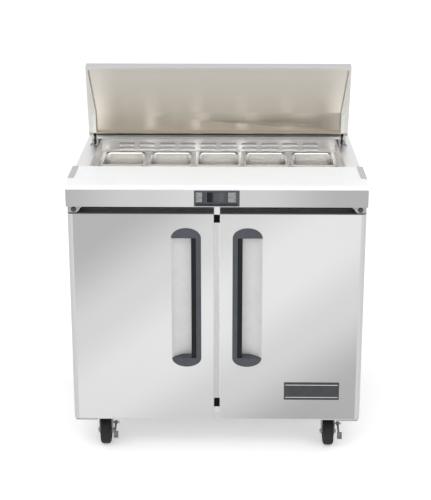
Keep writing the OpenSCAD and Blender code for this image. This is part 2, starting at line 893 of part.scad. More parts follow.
module machine_grille() {
  color(steel) difference() {
    slab([-grille_x, cab_back - sheet, cabinet_z + 12], [grille_x, cab_back + 6, step_z - 8]);
    slab(
      [-grille_x + skin_t, cab_back - sheet - 1, cabinet_z + 12 + skin_t],
      [grille_x - skin_t, cab_back + 6 - skin_t, step_z - 8 - skin_t]
    );
    for (i = [0 : 11], x = [-250, 0, 250]) slab(
      [x - grille_slot_w / 2, cab_back + 3, cabinet_z + 40 + i * grille_pitch],
      [x + grille_slot_w / 2, cab_back + 7, cabinet_z + 48 + i * grille_pitch]
    );
  }
}

// ---- Casters: 1 front left, 2 front right, 3 rear left, 4 rear right ----

module caster_plates() {
  color("#8d9195") for (i = [1 : 4]) translate(caster_place(i)) {
    union() {
      translate([-36, -36, cabinet_z - 3]) cube([72, 72, 3]);
      for (x = [-26, 26], y = [-26, 26]) translate([x, y, cabinet_z - 7]) cylinder(h = 5, r = 6, $fn = 6);
    }
    translate([0, 0, cabinet_z - 22]) cylinder(h = 20, r = king_r);
    translate([0, 0, cabinet_z - 22]) cylinder(h = 2.5, r = 8);
    translate([0, 0, cabinet_z - 9]) cylinder(h = 7, r = 22);
  }
}

// A caster's fork and its axle bolt, about the swivel axis; the wheel trails towards the front.
module caster_fork(i) {
  color("#9ea2a6") translate(caster_place(i)) {
    difference() {
      union() {
        translate([0, 0, cabinet_z - 19]) cylinder(h = 9.4, r = 24);
        translate([-22, -trail, cabinet_z - 19]) cube([44, trail + 10, 4]);
        for (side = [-1, 1]) along_x(side * 20.5 - 1.5, side * 20.5 + 1.5) {
          polygon([[14, cabinet_z - 15], [-trail - 16, cabinet_z - 15], [-trail - 12, wheel_r], [-trail + 12, wheel_r]]);
          translate([-trail, wheel_r]) circle(r = 12);
        }
      }
      translate([0, 0, cabinet_z - 30]) cylinder(h = 30, r = king_r + run_gap);
      translate([0, 0, cabinet_z - 24]) cylinder(h = 5.2, r = 8.4);
    }
    round_bar([-24, -trail, wheel_r], 48, axle_r);
    round_bar([-26.5, -trail, wheel_r], 4.5, 6.5);
    round_bar([22, -trail, wheel_r], 4.5, 6.5);
    if (i <= 2) round_bar([21, -trail + 2, wheel_r + 26], 22, 3);
  }
}

module caster_fork_1() { caster_fork(1); }
module caster_fork_2() { caster_fork(2); }
module caster_fork_3() { caster_fork(3); }
module caster_fork_4() { caster_fork(4); }

module caster_wheel(i) {
  color(black) translate(caster_place(i) + [0, -trail, wheel_r]) rotate([0, 90, 0]) rotate_extrude($fn = 96) difference() {
    translate([axle_r + run_gap, -wheel_w / 2]) square([wheel_r - axle_r - run_gap, wheel_w]);
    for (s = [-1, 1]) {
      translate([14, s > 0 ? wheel_w / 2 - 5 : -wheel_w / 2]) square([17, 5]);
      translate([wheel_r, s * (wheel_w / 2 + 5)]) circle(r = 9);
    }
  }
}

module caster_wheel_1() { caster_wheel(1); }
module caster_wheel_2() { caster_wheel(2); }
module caster_wheel_3() { caster_wheel(3); }
module caster_wheel_4() { caster_wheel(4); }

// The wheel lock's foot pedal, beside the wheel on the right.
module brake_pedal(i) {
  pad_y = -trail - 40;
  color("#7a7d80") translate(caster_place(i)) difference() {
    union() {
      along_x(27, 43) {
        translate([-trail + 2, wheel_r + 26]) circle(r = 6.5);
        polygon([
          [-trail + 2, wheel_r + 32.5],
          [pad_y, wheel_r + 22],
          [pad_y - 8, wheel_r - 4],
          [pad_y - 2, wheel_r - 5],
          [pad_y + 5, wheel_r + 15],
          [-trail + 2, wheel_r + 20]
        ]);
      }
      for (k = [0 : 3]) slab(
        [28, pad_y - 9.5 + k * 2.1, wheel_r - 2 + k * 6.4],
        [42, pad_y - 3 + k * 2.1, wheel_r + 0.6 + k * 6.4]
      );
    }
    round_bar([26, -trail + 2, wheel_r + 26], 18, 3 + run_gap);
  }
}

module brake_pedal_1() { brake_pedal(1); }
module brake_pedal_2() { brake_pedal(2); }

cabinet_shell();
cabinet_foam();
cabinet_liner();
mullion();
mullion_blocks();
top_deck();
pan_well();
pan_bars();
louver_panel();
rear_hood();
board_clips();
cutting_board();
control_bezel();
control_display();
button_up();
button_down();
button_set();
button_light();
pan_front_1();
pan_front_2();
pan_front_3();
pan_front_4();
pan_front_5();
pans_rear();
lid_skin();
lid_liner();
lid_gasket();
lid_arms();
lid_pivots();
door_hinges();
door_left_skin();
door_left_liner();
door_left_gasket();
door_left_handle();
door_left_caps();
door_right_skin();
door_right_liner();
door_right_gasket();
door_right_handle();
door_right_caps();
name_plate();
shelves();
shelf_supports();
evaporator();
evaporator_fan();
compressor();
condenser();
condenser_fan();
machine_grille();
caster_plates();
caster_fork_1();
caster_fork_2();
caster_fork_3();
caster_fork_4();
caster_wheel_1();
caster_wheel_2();
caster_wheel_3();
caster_wheel_4();
brake_pedal_1();
brake_pedal_2();
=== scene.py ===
import json
import math

import bmesh
import bpy
from mathutils import Matrix, Vector


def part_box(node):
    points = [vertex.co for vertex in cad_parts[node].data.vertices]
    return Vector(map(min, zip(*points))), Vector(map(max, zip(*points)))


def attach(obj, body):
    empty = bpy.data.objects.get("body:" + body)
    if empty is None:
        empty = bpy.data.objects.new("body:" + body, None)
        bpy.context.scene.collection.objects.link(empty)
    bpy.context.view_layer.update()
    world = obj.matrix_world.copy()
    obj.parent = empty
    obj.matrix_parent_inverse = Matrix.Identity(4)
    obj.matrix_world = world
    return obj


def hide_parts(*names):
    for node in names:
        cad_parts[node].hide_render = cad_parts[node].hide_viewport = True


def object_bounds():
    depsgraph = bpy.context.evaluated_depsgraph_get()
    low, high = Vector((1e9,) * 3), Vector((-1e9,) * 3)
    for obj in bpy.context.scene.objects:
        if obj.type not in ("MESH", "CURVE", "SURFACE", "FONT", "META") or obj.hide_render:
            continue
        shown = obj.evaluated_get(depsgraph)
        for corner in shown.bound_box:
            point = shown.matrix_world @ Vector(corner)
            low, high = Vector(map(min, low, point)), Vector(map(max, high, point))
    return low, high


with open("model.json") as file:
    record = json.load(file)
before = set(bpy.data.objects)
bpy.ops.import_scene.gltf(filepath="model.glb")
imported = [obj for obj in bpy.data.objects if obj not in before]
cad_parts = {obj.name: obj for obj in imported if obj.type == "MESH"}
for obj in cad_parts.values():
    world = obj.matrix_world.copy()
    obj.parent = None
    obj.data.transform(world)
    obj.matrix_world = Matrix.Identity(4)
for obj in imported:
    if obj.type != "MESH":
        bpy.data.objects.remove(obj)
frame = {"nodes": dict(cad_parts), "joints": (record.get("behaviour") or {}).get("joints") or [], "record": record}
cad_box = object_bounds()
MM = 0.001
SIDES = (("left", -1), ("right", 1))
LID_PIVOT = Vector(next(joint for joint in frame["joints"] if joint["name"] == "lid_hinge")["pos_m"])
LID_OPEN = math.radians(77)  # the lid's angle at rest, open
LID_LINK = 41 * MM  # reach of the black link about the lid's pivot


# ---- Materials ----

class Finish:
    """A node-based material whose patterns follow the piece's own coordinates."""

    def __init__(self, name, color, roughness, metallic=0.0, coat=0.0, specular=0.5):
        self.material = bpy.data.materials.new(name)
        self.material.use_nodes = True
        self.tree = self.material.node_tree
        self.shader = self.tree.nodes["Principled BSDF"]
        self.shader.inputs["Base Color"].default_value = (*color, 1)
        self.shader.inputs["Roughness"].default_value = roughness
        self.shader.inputs["Metallic"].default_value = metallic
        self.shader.inputs["Coat Weight"].default_value = coat
        self.shader.inputs["Specular IOR Level"].default_value = specular
        self.color = color
        self.place = self.node("ShaderNodeTexCoord").outputs["Object"]

    def node(self, kind, **settings):
        made = self.tree.nodes.new(kind)
        for name, value in settings.items():
            setattr(made, name, value)
        return made

    def link(self, source, target):
        self.tree.links.new(source, target)

    def noise(self, scale, stretch=(1, 1, 1), detail=3.0, roughness=0.55):
        """Noise with so many cells a metre, drawn out by the stretch along each axis."""
        mapping = self.node("ShaderNodeMapping")
        mapping.inputs["Scale"].default_value = [1 / s for s in stretch]
        self.link(self.place, mapping.inputs["Vector"])
        noise = self.node("ShaderNodeTexNoise")
        noise.inputs["Scale"].default_value = scale
        noise.inputs["Detail"].default_value = detail
        noise.inputs["Roughness"].default_value = roughness
        self.link(mapping.outputs["Vector"], noise.inputs["Vector"])
        return noise.outputs["Fac"]

    def ramp(self, factor, *stops):
        """A colour or grey ramp; each stop is (place, colour or value)."""
        ramp = self.node("ShaderNodeValToRGB")
        ramp.color_ramp.interpolation = "EASE"
        elements = ramp.color_ramp.elements
        while len(elements) < len(stops):
            elements.new(0.5)
        for element, (place, value) in zip(elements, stops):
            element.position = place
            element.color = (*value, 1) if hasattr(value, "__len__") else (value, value, value, 1)
        self.link(factor, ramp.inputs["Fac"])
        return ramp.outputs["Color"]

    def mottle(self, factor, spread):
        """Lightens and darkens the base colour by a share of itself."""
        low = [c * (1 - spread) for c in self.color]
        high = [min(1, c * (1 + spread)) for c in self.color]
        self.paint(self.ramp(factor, (0.3, low), (0.7, high)))

    def paint(self, color):
        self.link(color, self.shader.inputs["Base Color"])

    def gloss(self, factor, low, high):
        self.link(self.ramp(factor, (0.3, low), (0.7, high)), self.shader.inputs["Roughness"])

    def relief(self, height, depth_mm, strength=1.0):
        bump = self.node("ShaderNodeBump")
        bump.inputs["Strength"].default_value = strength
        bump.inputs["Distance"].default_value = depth_mm * MM
        self.link(height, bump.inputs["Height"])
        self.link(bump.outputs["Normal"], self.shader.inputs["Normal"])


# How far a pattern is drawn out along each axis, by the direction of the grain.
GRAIN = {"x": (40, 1, 1), "y": (1, 40, 1), "z": (1, 1, 40)}


def brushed(name, color, roughness, grain="x", streak=0.04, smear=0.0, metallic=1.0):
    """Brushed stainless steel: fine scratches and faint streaks along one axis."""
    made = Finish(name, color, roughness, metallic=metallic)
    scratches = made.noise(2600, GRAIN[grain], detail=3)
    streaks = made.noise(420, GRAIN[grain], detail=2)
    made.mottle(streaks, streak)
    made.gloss(scratches, roughness - 0.04, roughness + 0.04)
    made.relief(scratches, 0.006, 0.2)
    if smear:
        made.shader.inputs["Anisotropic"].default_value = smear
        tangent = made.node("ShaderNodeTangent", direction_type="RADIAL", axis="X")
        made.link(tangent.outputs["Tangent"], made.shader.inputs["Tangent"])
    return made


def painted_sheen(made, direction, middle, *stops):
    """Painted light: a soft change of tone with the distance from the middle, along a direction, either way."""
    shift = made.node("ShaderNodeVectorMath", operation="SUBTRACT")
    shift.inputs[1].default_value = middle
    made.link(made.place, shift.inputs[0])
    across = made.node("ShaderNodeVectorMath", operation="DOT_PRODUCT")
    made.link(shift.outputs["Vector"], across.inputs[0])
    across.inputs[1].default_value = direction
    size = made.node("ShaderNodeMath", operation="ABSOLUTE")
    made.link(across.outputs["Value"], size.inputs[0])
    return made.ramp(size.outputs["Value"], *stops)


def panel_steel():
    """Door sheet, with a painted reflection: soft diagonal bands of lighter and darker tone painted into the
    colour of the large polished panel.
    """
    made = brushed("panel_steel", (0.70, 0.70, 0.705), 0.36, grain="x", streak=0.02)
    diagonal, middle = (0.61, 0, -0.79), (0, 0, cad_box[1].z * 0.4)
    # painted reflection: lightest along a diagonal through the middle of the doors, darker away from it
    made.paint(painted_sheen(made, diagonal, middle, (0.04, (0.61, 0.61, 0.61)), (0.22, (0.52, 0.52, 0.52)),
                     (0.44, (0.36, 0.36, 0.365))))
    return made


def beyond(made, axis, level):
    """1 where the place along an axis is past a level, else 0."""
    split = made.node("ShaderNodeSeparateXYZ")
    made.link(made.place, split.inputs["Vector"])
    past = made.node("ShaderNodeMath", operation="GREATER_THAN")
    past.inputs[1].default_value = level
    made.link(split.outputs[axis], past.inputs[0])
    return past.outputs["Value"]


def top_steel():
    """The work top's sheet, with painted light: the upward faces painted bright, a little brighter towards the
    ends, and the front rail and skirts painted darker towards the ends.
    """
    made = brushed("top_steel", (0.9, 0.9, 0.905), 0.40, grain="x", streak=0.012)
    # painted shade on the front rail and skirts, darker towards the ends
    rail = painted_sheen(made, (1, 0, 0), (-0.06, 0, 0), (0.0, (0.53, 0.53, 0.53)), (0.18, (0.48, 0.48, 0.48)),
                 (0.46, (0.355, 0.355, 0.36)))
    deck = painted_sheen(made, (1, 0, 0), (0, 0, 0), (0.0, (0.80, 0.80, 0.805)), (0.46, (0.88, 0.88, 0.885)))
    # the upward faces take the painted light, the rail and skirts the painted shade
    mixed = made.node("ShaderNodeMix", data_type="RGBA")
    made.link(beyond(made, "Z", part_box("top_deck")[1].z - 0.9 * MM), mixed.inputs["Factor"])
    made.link(rail, mixed.inputs["A"])
    made.link(deck, mixed.inputs["B"])
    made.paint(mixed.outputs["Result"])
    return made


def shell_steel():
    """The cabinet's outer sheet: dull sides and back, and a polished face behind the doors."""
    made = brushed("shell_steel", (0.47, 0.475, 0.48), 0.42, grain="z", streak=0.012)
    behind = beyond(made, "Y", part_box("cabinet_shell")[0].y + 2 * MM)
    made.paint(made.ramp(behind, (0.4, (0.57, 0.57, 0.57)), (0.6, (0.47, 0.475, 0.48))))
    made.link(made.ramp(behind, (0.4, 0.14), (0.6, 0.42)), made.shader.inputs["Roughness"])
    return made


def satin(name, color, roughness, metallic):
    """Dull bead-blasted sheet, which takes soft light from all round."""
    made = Finish(name, color, roughness, metallic=metallic)
    made.mottle(made.noise(30, detail=3), 0.02)
    made.gloss(made.noise(900, detail=2), roughness - 0.05, roughness + 0.05)
    made.relief(made.noise(2200, detail=2), 0.004, 0.2)
    return made


def moulded(name, color, roughness, grain_mm=0.03, coat=0.0, mottle=0.10, specular=0.5):
    """Moulded plastic or rubber with a fine texture in its skin."""
    made = Finish(name, color, roughness, coat=coat, specular=specular)
    made.mottle(made.noise(35, detail=4), mottle)
    skin = made.noise(1500, detail=2)
    made.gloss(skin, roughness - 0.06, roughness + 0.06)
    made.relief(skin, grain_mm, 0.5)
    return made


def cutting_plastic():
    """White polyethylene with a pebbled surface and faint knife marks."""
    made = Finish("cutting_plastic", (0.86, 0.86, 0.86), 0.46, specular=0.3)
    made.shader.inputs["Subsurface Weight"].default_value = 0.08
    made.mottle(made.noise(9, detail=4), 0.012)
    made.relief(made.noise(900, (1, 3, 1), detail=3), 0.05, 0.35)
    made.gloss(made.noise(160, (12, 1, 1), detail=4), 0.34, 0.50)
    return made


def coated_wire():
    """Shelf wire under a thin white coat."""
    made = Finish("coated_wire", (0.80, 0.80, 0.80), 0.35, metallic=0.6)
    made.mottle(made.noise(60, detail=3), 0.05)
    made.relief(made.noise(700, detail=2), 0.04, 0.4)
    return made


def plated(name, color, roughness):
    """Zinc plated or cast metal with a cloudy passivated skin."""
    made = Finish(name, color, roughness, metallic=0.9)
    made.mottle(made.noise(70, detail=6, roughness=0.7), 0.14)
    made.gloss(made.noise(240, detail=4), roughness - 0.08, roughness + 0.12)
    made.relief(made.noise(500, detail=3), 0.03, 0.4)
    return made


def door_cap_plastic():
    """Door end caps: dark at the top of the door and light grey underneath it."""
    dark, pale = (0.045, 0.047, 0.051), (0.46, 0.46, 0.465)
    made = moulded("door_cap_plastic", dark, 0.5)
    low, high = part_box("door_left_caps")
    made.paint(made.ramp(beyond(made, "Z", (low.z + high.z) / 2), (0.4, pale), (0.6, dark)))
    return made


def foam_skin():
    """Yellow insulation foam, with its rough open skin."""
    made = Finish("foam_skin", (0.78, 0.70, 0.45), 0.85)
    made.mottle(made.noise(120, detail=6), 0.12)
    made.relief(made.noise(420, detail=5), 0.5, 0.7)
    return made


def display_glass():
    """Dark window, navy at the left, with a painted reflection that turns it smoky grey at the right."""
    made = Finish("display_glass", (0.01, 0.012, 0.02), 0.16, specular=0.18)
    low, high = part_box("control_bezel")
    left = (low.x + (high.x - low.x) * 0.28, 0, 0)
    # painted reflection: navy at the left, lightening to grey towards the right
    made.paint(painted_sheen(made, (1, 0, 0), left, (0.014, (0.003, 0.004, 0.010)), (0.024, (0.055, 0.058, 0.066)),
                     (0.050, (0.075, 0.077, 0.082))))
    made.relief(made.noise(900, detail=1), 0.004, 0.3)
    return made


def pivot_distance(made):
    """How far a place is from the line of the lid's pivots."""
    flat = made.node("ShaderNodeVectorMath", operation="MULTIPLY")
    flat.inputs[1].default_value = (0, 1, 1)
    made.link(made.place, flat.inputs[0])
    reach = made.node("ShaderNodeVectorMath", operation="DISTANCE")
    made.link(flat.outputs["Vector"], reach.inputs[0])
    reach.inputs[1].default_value = (0, LID_PIVOT.y, LID_PIVOT.z)
    return reach.outputs["Value"]


def arm_metal():
    """The lid arms: a pale steel strap that ends in a black link and eye about the pivot."""
    strap, link = (0.62, 0.63, 0.60), (0.012, 0.012, 0.013)
    made = plated("arm_metal", strap, 0.36)
    made.paint(made.ramp(pivot_distance(made), (LID_LINK - 0.5 * MM, link), (LID_LINK + 0.5 * MM, strap)))
    return made


def lid_inside():
    """The lid's liner: warm smeared steel, with painted shade on the narrow ledge beside the gasket, and a painted
    reflection that is lightest across the middle and darker towards the free edge.
    """
    middle = (0.64, 0.60, 0.53)
    made = brushed("lid_liner_steel", middle, 0.36, grain="x", streak=0.025, smear=0.8)
    # painted shade by the ledge near the pivot, then a painted reflection along the lid
    made.paint(made.ramp(pivot_distance(made), (LID_LINK + 0.5 * MM, (0.34, 0.31, 0.26)),
                         (LID_LINK + 3 * MM, (0.60, 0.55, 0.47)), (120 * MM, middle),
                         (260 * MM, (0.55, 0.52, 0.475))))
    return made


PANEL = panel_steel().material
TOP = top_steel().material
DECK = brushed("deck_steel", (0.64, 0.64, 0.645), 0.38, grain="x", streak=0.012).material
HOOD = brushed("hood_steel", (0.56, 0.56, 0.565), 0.40, grain="x", streak=0.012).material
HEM = brushed("hem_steel", (0.55, 0.54, 0.515), 0.36, grain="x", streak=0.02).material
CHANNEL = brushed("channel_steel", (0.52, 0.52, 0.525), 0.42, grain="z", streak=0.02).material
WELL = brushed("well_steel", (0.97, 0.955, 0.93), 0.32, grain="x", streak=0.01, metallic=0.6).material
PAN = brushed("pan_steel", (0.90, 0.885, 0.865), 0.24, grain="z", streak=0.01).material
LID_INSIDE = lid_inside().material
POCKET = satin("pocket_steel", (0.72, 0.72, 0.72), 0.55, 0.35).material
MULLION = brushed("mullion_sheet", (0.78, 0.78, 0.78), 0.14, grain="z", streak=0.01).material
LOUVER = satin("louver_steel", (0.98, 0.975, 0.96), 0.35, 0.2).material
SHELL = shell_steel().material
BACK = brushed("back_steel", (0.46, 0.465, 0.47), 0.42, grain="z", streak=0.012).material
LINING = brushed("cabinet_lining", (0.74, 0.75, 0.76), 0.4, grain="z", streak=0.012).material
CLIP = brushed("clip_steel", (0.60, 0.60, 0.615), 0.40, grain="y", streak=0.02).material
ZINC = plated("zinc_plate", (0.30, 0.305, 0.31), 0.36).material
SLATE = moulded("slate_plastic", (0.046, 0.051, 0.059), 0.46, specular=0.35).material
CAP_PLASTIC = moulded("cap_plastic", (0.035, 0.037, 0.041), 0.5).material
DOOR_CAPS = door_cap_plastic().material
BLACK = moulded("black_plastic", (0.010, 0.010, 0.011), 0.6, specular=0.15).material
WHITE_PLASTIC = moulded("white_liner", (0.76, 0.755, 0.735), 0.32, mottle=0.012).material
KEY = moulded("soft_keys", (0.22, 0.22, 0.225), 0.55, mottle=0.05, specular=0.3).material
GASKET = moulded("gasket_rubber", (0.018, 0.018, 0.020), 0.62).material
TYRE = moulded("caster_rubber", (0.014, 0.014, 0.015), 0.62, 0.08, mottle=0.25, specular=0.22).material
PEDAL = moulded("pedal_metal", (0.15, 0.154, 0.158), 0.42, mottle=0.15, specular=0.4).material
ENAMEL = moulded("black_enamel", (0.014, 0.014, 0.016), 0.3, coat=0.3).material
FINS = plated("fin_aluminium", (0.62, 0.63, 0.65), 0.35).material
BOARD = cutting_plastic().material
WIRE = coated_wire().material
FOAM = foam_skin().material
GLASS = display_glass().material
PLATE = moulded("plate_enamel", (0.036, 0.038, 0.040), 0.42, specular=0.3).material
STRIP = moulded("controller_strip", (0.010, 0.012, 0.018), 0.25, specular=0.3).material
ARM = arm_metal().material

SLOT_MATERIALS = {
    "steel": PANEL, "steel_light": DECK, "lid_liner": LID_INSIDE, "bracket": CLIP, "liner": LINING,
    "foam": FOAM, "board": BOARD, "slate_plastic": SLATE, "cap_plastic": CAP_PLASTIC,
    "black_plastic": BLACK, "display": GLASS, "key": KEY, "gasket": GASKET,
    "white_plastic": WHITE_PLASTIC, "wire": WIRE, "zinc": ZINC, "tyre": TYRE, "pedal": PEDAL,
    "black_metal": ENAMEL, "fins": FINS,
}
NODE_MATERIALS = {
    "top_deck": TOP, "pan_well": WELL, "pan_bars": WELL, "louver_panel": WELL, "machine_grille": BACK,
    "rear_hood": HOOD, "cabinet_shell": SHELL, "mullion": MULLION, "door_hinges": ZINC, "lid_arms": ARM,
    "lid_skin": DECK, "name_plate": PLATE, "door_left_caps": DOOR_CAPS, "door_right_caps": DOOR_CAPS,
}
EDGE_RADII = {  # millimetres
    "cutting_board": 1.6, "top_deck": 0.8, "cabinet_shell": 0.5, "control_bezel": 0.5, "mullion": 0.5,
    "board_clips": 0.5, "name_plate": 0.5, "rear_hood": 0.5, "door_hinges": 0.5, "lid_arms": 0.4,
    "lid_pivots": 0.3, "shelf_supports": 0.4, "compressor": 0.8, "machine_grille": 0.4,
    "mullion_blocks": 0.5, "lid_liner": 0.5, "lid_skin": 0.5, "pan_bars": 0.4, "caster_plates": 0.4,
    **{f"door_{side}_handle": 2.4 for side, _ in SIDES},
    **{f"door_{side}_liner": 1.2 for side, _ in SIDES},
    **{f"door_{side}_caps": 0.4 for side, _ in SIDES},
    **{f"button_{key}": 0.7 for key in ("up", "down", "set", "light")},
    **{f"caster_fork_{i}": 0.5 for i in range(1, 5)},
}


def soften(piece, radius_mm, segments=3, harden=False):
    """Rounds a piece's sharp edges; harden keeps the flats beside them evenly shaded."""
    bevel = piece.modifiers.new("bevel", "BEVEL")
    bevel.width = radius_mm * MM
    bevel.segments = segments
    bevel.limit_method = "ANGLE"
    bevel.angle_limit = math.radians(40)
    bevel.harden_normals = harden


def dress(node, piece, material_slot):
    """Gives a CAD node its finish and softens its sharp edges."""
    material = NODE_MATERIALS.get(node, SLOT_MATERIALS[material_slot])
    piece.data.materials.clear()
    piece.data.materials.append(material)
    weld = piece.modifiers.new("weld", "WELD")
    weld.merge_threshold = 0.01 * MM
    if node in EDGE_RADII:
        soften(piece, EDGE_RADII[node], harden=True)


SLOT_OF = {part["node"]: part["material_slot"] for part in frame["record"]["subparts"]}
for node_name, node_object in frame["nodes"].items():
    dress(node_name, node_object, SLOT_OF[node_name])


# ---- Mesh tools ----

def add_piece(name, verts, faces, material, body, slot, replaced=(), smooth_angle=35):
    """A new piece in metres, riding on a body, shaded smooth up to an angle."""
    mesh = bpy.data.meshes.new(name)
    mesh.from_pydata([tuple(v) for v in verts], [], faces)
    shaper = bmesh.new()
    shaper.from_mesh(mesh)
    bmesh.ops.remove_doubles(shaper, verts=shaper.verts, dist=0.001 * MM)
    bmesh.ops.recalc_face_normals(shaper, faces=shaper.faces)
    for edge in shaper.edges:
        sharp = len(edge.link_faces) == 2 and edge.calc_face_angle(0) > math.radians(smooth_angle)
        edge.smooth = not sharp
    for face in shaper.faces:
        face.smooth = True
    shaper.to_mesh(mesh)
    shaper.free()
    mesh.materials.append(material)
    piece = bpy.data.objects.new(name, mesh)
    bpy.context.scene.collection.objects.link(piece)
    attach(piece, body)
    if replaced:
        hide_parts(*replaced)
    return piece


def loft(rings, looped=False, capped=False):
    """Quads between rings of equal length; looped joins the last ring to the first."""
    count = len(rings[0])
    verts = [p for ring in rings for p in ring]
    faces = []
    steps = len(rings) if looped else len(rings) - 1
    for i in range(steps):
        a, b = i * count, ((i + 1) % len(rings)) * count
        for j in range(count):
            k = (j + 1) % count
            faces.append((a + j, a + k, b + k, b + j))
    if capped:
        last = (len(rings) - 1) * count
        faces.append(tuple(range(count)))
        faces.append(tuple(range(last, last + count)))
    return verts, faces


def round_rectangle(half_w, half_d, radius, steps=6):
    """Points round a rectangle with round corners, centred on the origin."""
    radius = max(radius, 0.01 * MM)
    points = []
    for corner in range(4):
        sign_x = 1 if corner in (0, 3) else -1
        sign_y = 1 if corner in (0, 1) else -1
        for i in range(steps + 1):
            angle = math.pi / 2 * (corner + i / steps)
            points.append((sign_x * (half_w - radius) + radius * math.cos(angle),
                           sign_y * (half_d - radius) + radius * math.sin(angle)))
    return points


def joined(parts):
    """Several (verts, faces) as one."""
    verts, faces = [], []
    for part_verts, part_faces in parts:
        start = len(verts)
        verts.extend(part_verts)
        faces.extend(tuple(start + i for i in face) for face in part_faces)
    return verts, faces


def block(low, high):
    """The corners and faces of a block, for pieces that are softened afterwards."""
    x, y, z = zip(low, high)
    rings = [[(x[0], y[0], h), (x[1], y[0], h), (x[1], y[1], h), (x[0], y[1], h)] for h in z]
    return loft(rings, capped=True)


def prism_x(outline, x0, x1):
    """A YZ outline drawn out along X."""
    return loft([[(x, y, z) for y, z in outline] for x in (x0, x1)], capped=True)


def prism_y(outline, y0, y1):
    """An XZ outline drawn out along Y."""
    return loft([[(x, y, z) for x, z in outline] for y in (y0, y1)], capped=True)


def prism_z(outline, z0, z1):
    """An XY outline drawn out along Z."""
    return loft([[(x, y, z) for x, y in outline] for z in (z0, z1)], capped=True)


def curved_sheet(centre, radii, angles, side, facing):
    """An XY outline of a bent sheet: along an arc of one radius and back along that of the other."""
    outline = []
    for radius, order in zip(radii, (1, -1)):
        arc = [(centre[0] + side * radius * math.sin(angle), centre[1] + facing * radius * math.cos(angle))
               for angle in angles]
        outline += arc[::order]
    return outline


def disc(cx, cz, radius, steps=20):
    """Points round a circle in XZ."""
    turns = [2 * math.pi * i / steps for i in range(steps)]
    return [(cx + radius * math.cos(turn), cz + radius * math.sin(turn)) for turn in turns]


def lathe_x(profile, centre, steps=64):
    """A closed profile of (x, radius) points turned about the X axis through the centre."""
    rings = []
    for i in range(steps):
        angle = 2 * math.pi * i / steps
        rings.append([(centre.x + x, centre.y + r * math.cos(angle), centre.z + r * math.sin(angle))
                      for x, r in profile])
    return loft(rings, looped=True)


# ---- Food pans ----

def pan_shell(low, high):
    """A drawn steel pan: rolled rim, tapered walls, coved floor, with a real wall thickness."""
    cx, cy = (low.x + high.x) / 2, (low.y + high.y) / 2
    half_w, half_d = (high.x - low.x) / 2 - 0.3 * MM, (high.y - low.y) / 2 - 0.3 * MM
    top, depth = high.z, high.z - low.z
    wall, flange = 0.8 * MM, 11 * MM
    inside = [  # the rim, in millimetres: inset from its edge, depth below the top, corner radius
        (0.0, 1.4, 12), (0.2, 0.5, 12), (1.0, 0.05, 12), (2.2, 0.0, 12), (3.4, 0.5, 12),
        (4.2, 0.9, 12), (9.4, 0.9, 13), (10.6, 1.4, 14), (11.6, 2.8, 15), (12.2, 6, 16),
    ]
    rings = [(i * MM, d * MM, r * MM) for i, d, r in inside]
    cove, slope, shoulder = 14 * MM, 7.5 * MM, 6 * MM
    floor_depth = depth - wall - 0.2 * MM
    wall_inset = flange + 1.2 * MM
    for share in (0.25, 0.5, 0.75):
        down = shoulder + (floor_depth - cove - shoulder) * share
        rings.append((wall_inset + slope * share, down, 17 * MM))
    for step in range(5):
        turn = math.pi / 2 * step / 4
        bend, down = cove * (1 - math.cos(turn)), floor_depth - cove * (1 - math.sin(turn))
        rings.append((wall_inset + slope + bend, down, 20 * MM + bend / 2))
    rings.append((half_w * 0.55, floor_depth + 0.2 * MM, 22 * MM))
    outer = [(max(i - wall, 0.3 * MM) if d > 5 * MM else i, d + wall, r + wall) for i, d, r in rings[::-1]]
    loops = []
    for inset, down, radius in rings[::-1] + outer[::-1]:
        ring = round_rectangle(half_w - inset, half_d - inset, radius)
        loops.append([(cx + x, cy + y, top - down) for x, y in ring])
    return loft(loops, capped=True)


def make_pans():
    """Five loose pans at the front, and five fixed ones of the same width behind them."""
    for i in range(1, 6):
        node = f"pan_front_{i}"
        add_piece(f"front_pan_{i}_shell", *pan_shell(*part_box(node)), PAN, f"front_pan_{i}", "steel", [node])
    first_low, first_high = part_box("pan_front_1")
    width = first_high.x - first_low.x
    low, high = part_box("pans_rear")
    pitch = (high.x - low.x - width) / 4
    shells = []
    for i in range(5):
        left = low.x + i * pitch
        shells.append(pan_shell(Vector((left, low.y, low.z)), Vector((left + width, high.y, high.z))))
    add_piece("rear_pan_shells", *joined(shells), PAN, "cabinet", "steel", ["pans_rear"])


# ---- Doors ----

GRIP_FACE = 1.5 * MM  # the door's face, behind the front of the grip
GRIP_BOTTOM, GRIP_TOP = 30.3 * MM, 33.3 * MM  # solid ends of the grip
GRIP_BAR, GRIP_SHADE_STRIP = 16.2 * MM, 30.6 * MM  # outer edges of the bar and of the black strip beside it, which stands in for the shade of the cavity behind the grip


def gasket_ring(low, high):
    """A door gasket: a dart base, two bellows folds and a rounded magnet face, mitred at the corners."""
    width, reach = 14 * MM, high.y - low.y
    profile = [  # share of the width, share of the reach
        (0.10, 0.02), (0.90, 0.02), (0.94, 0.12), (0.74, 0.22), (0.74, 0.30), (0.96, 0.42), (0.96, 0.50),
        (0.78, 0.58), (0.80, 0.66), (1.00, 0.72), (1.00, 0.88), (0.90, 0.97), (0.50, 1.00), (0.10, 0.97),
        (0.00, 0.88), (0.00, 0.72), (0.20, 0.66), (0.22, 0.58), (0.04, 0.50), (0.04, 0.42), (0.26, 0.30),
        (0.26, 0.22), (0.06, 0.12),
    ]
    rings = []
    for corner in range(4):
        ring = []
        for across, out in profile:
            inset = across * width
            x = (low.x + inset) if corner in (0, 3) else (high.x - inset)
            z = (low.z + inset) if corner in (0, 1) else (high.z - inset)
            ring.append((x, low.y + out * reach, z))
        rings.append(ring)
    return loft(rings, looped=True)


def grip_place(side, sign):
    """Where a grip is: its inner edge, the door's face, and the bottom and top of its opening."""
    low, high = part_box(f"door_{side}_handle")
    inner = low.x if sign > 0 else high.x
    return inner, low.y + GRIP_FACE, low.z + GRIP_BOTTOM, high.z - GRIP_TOP


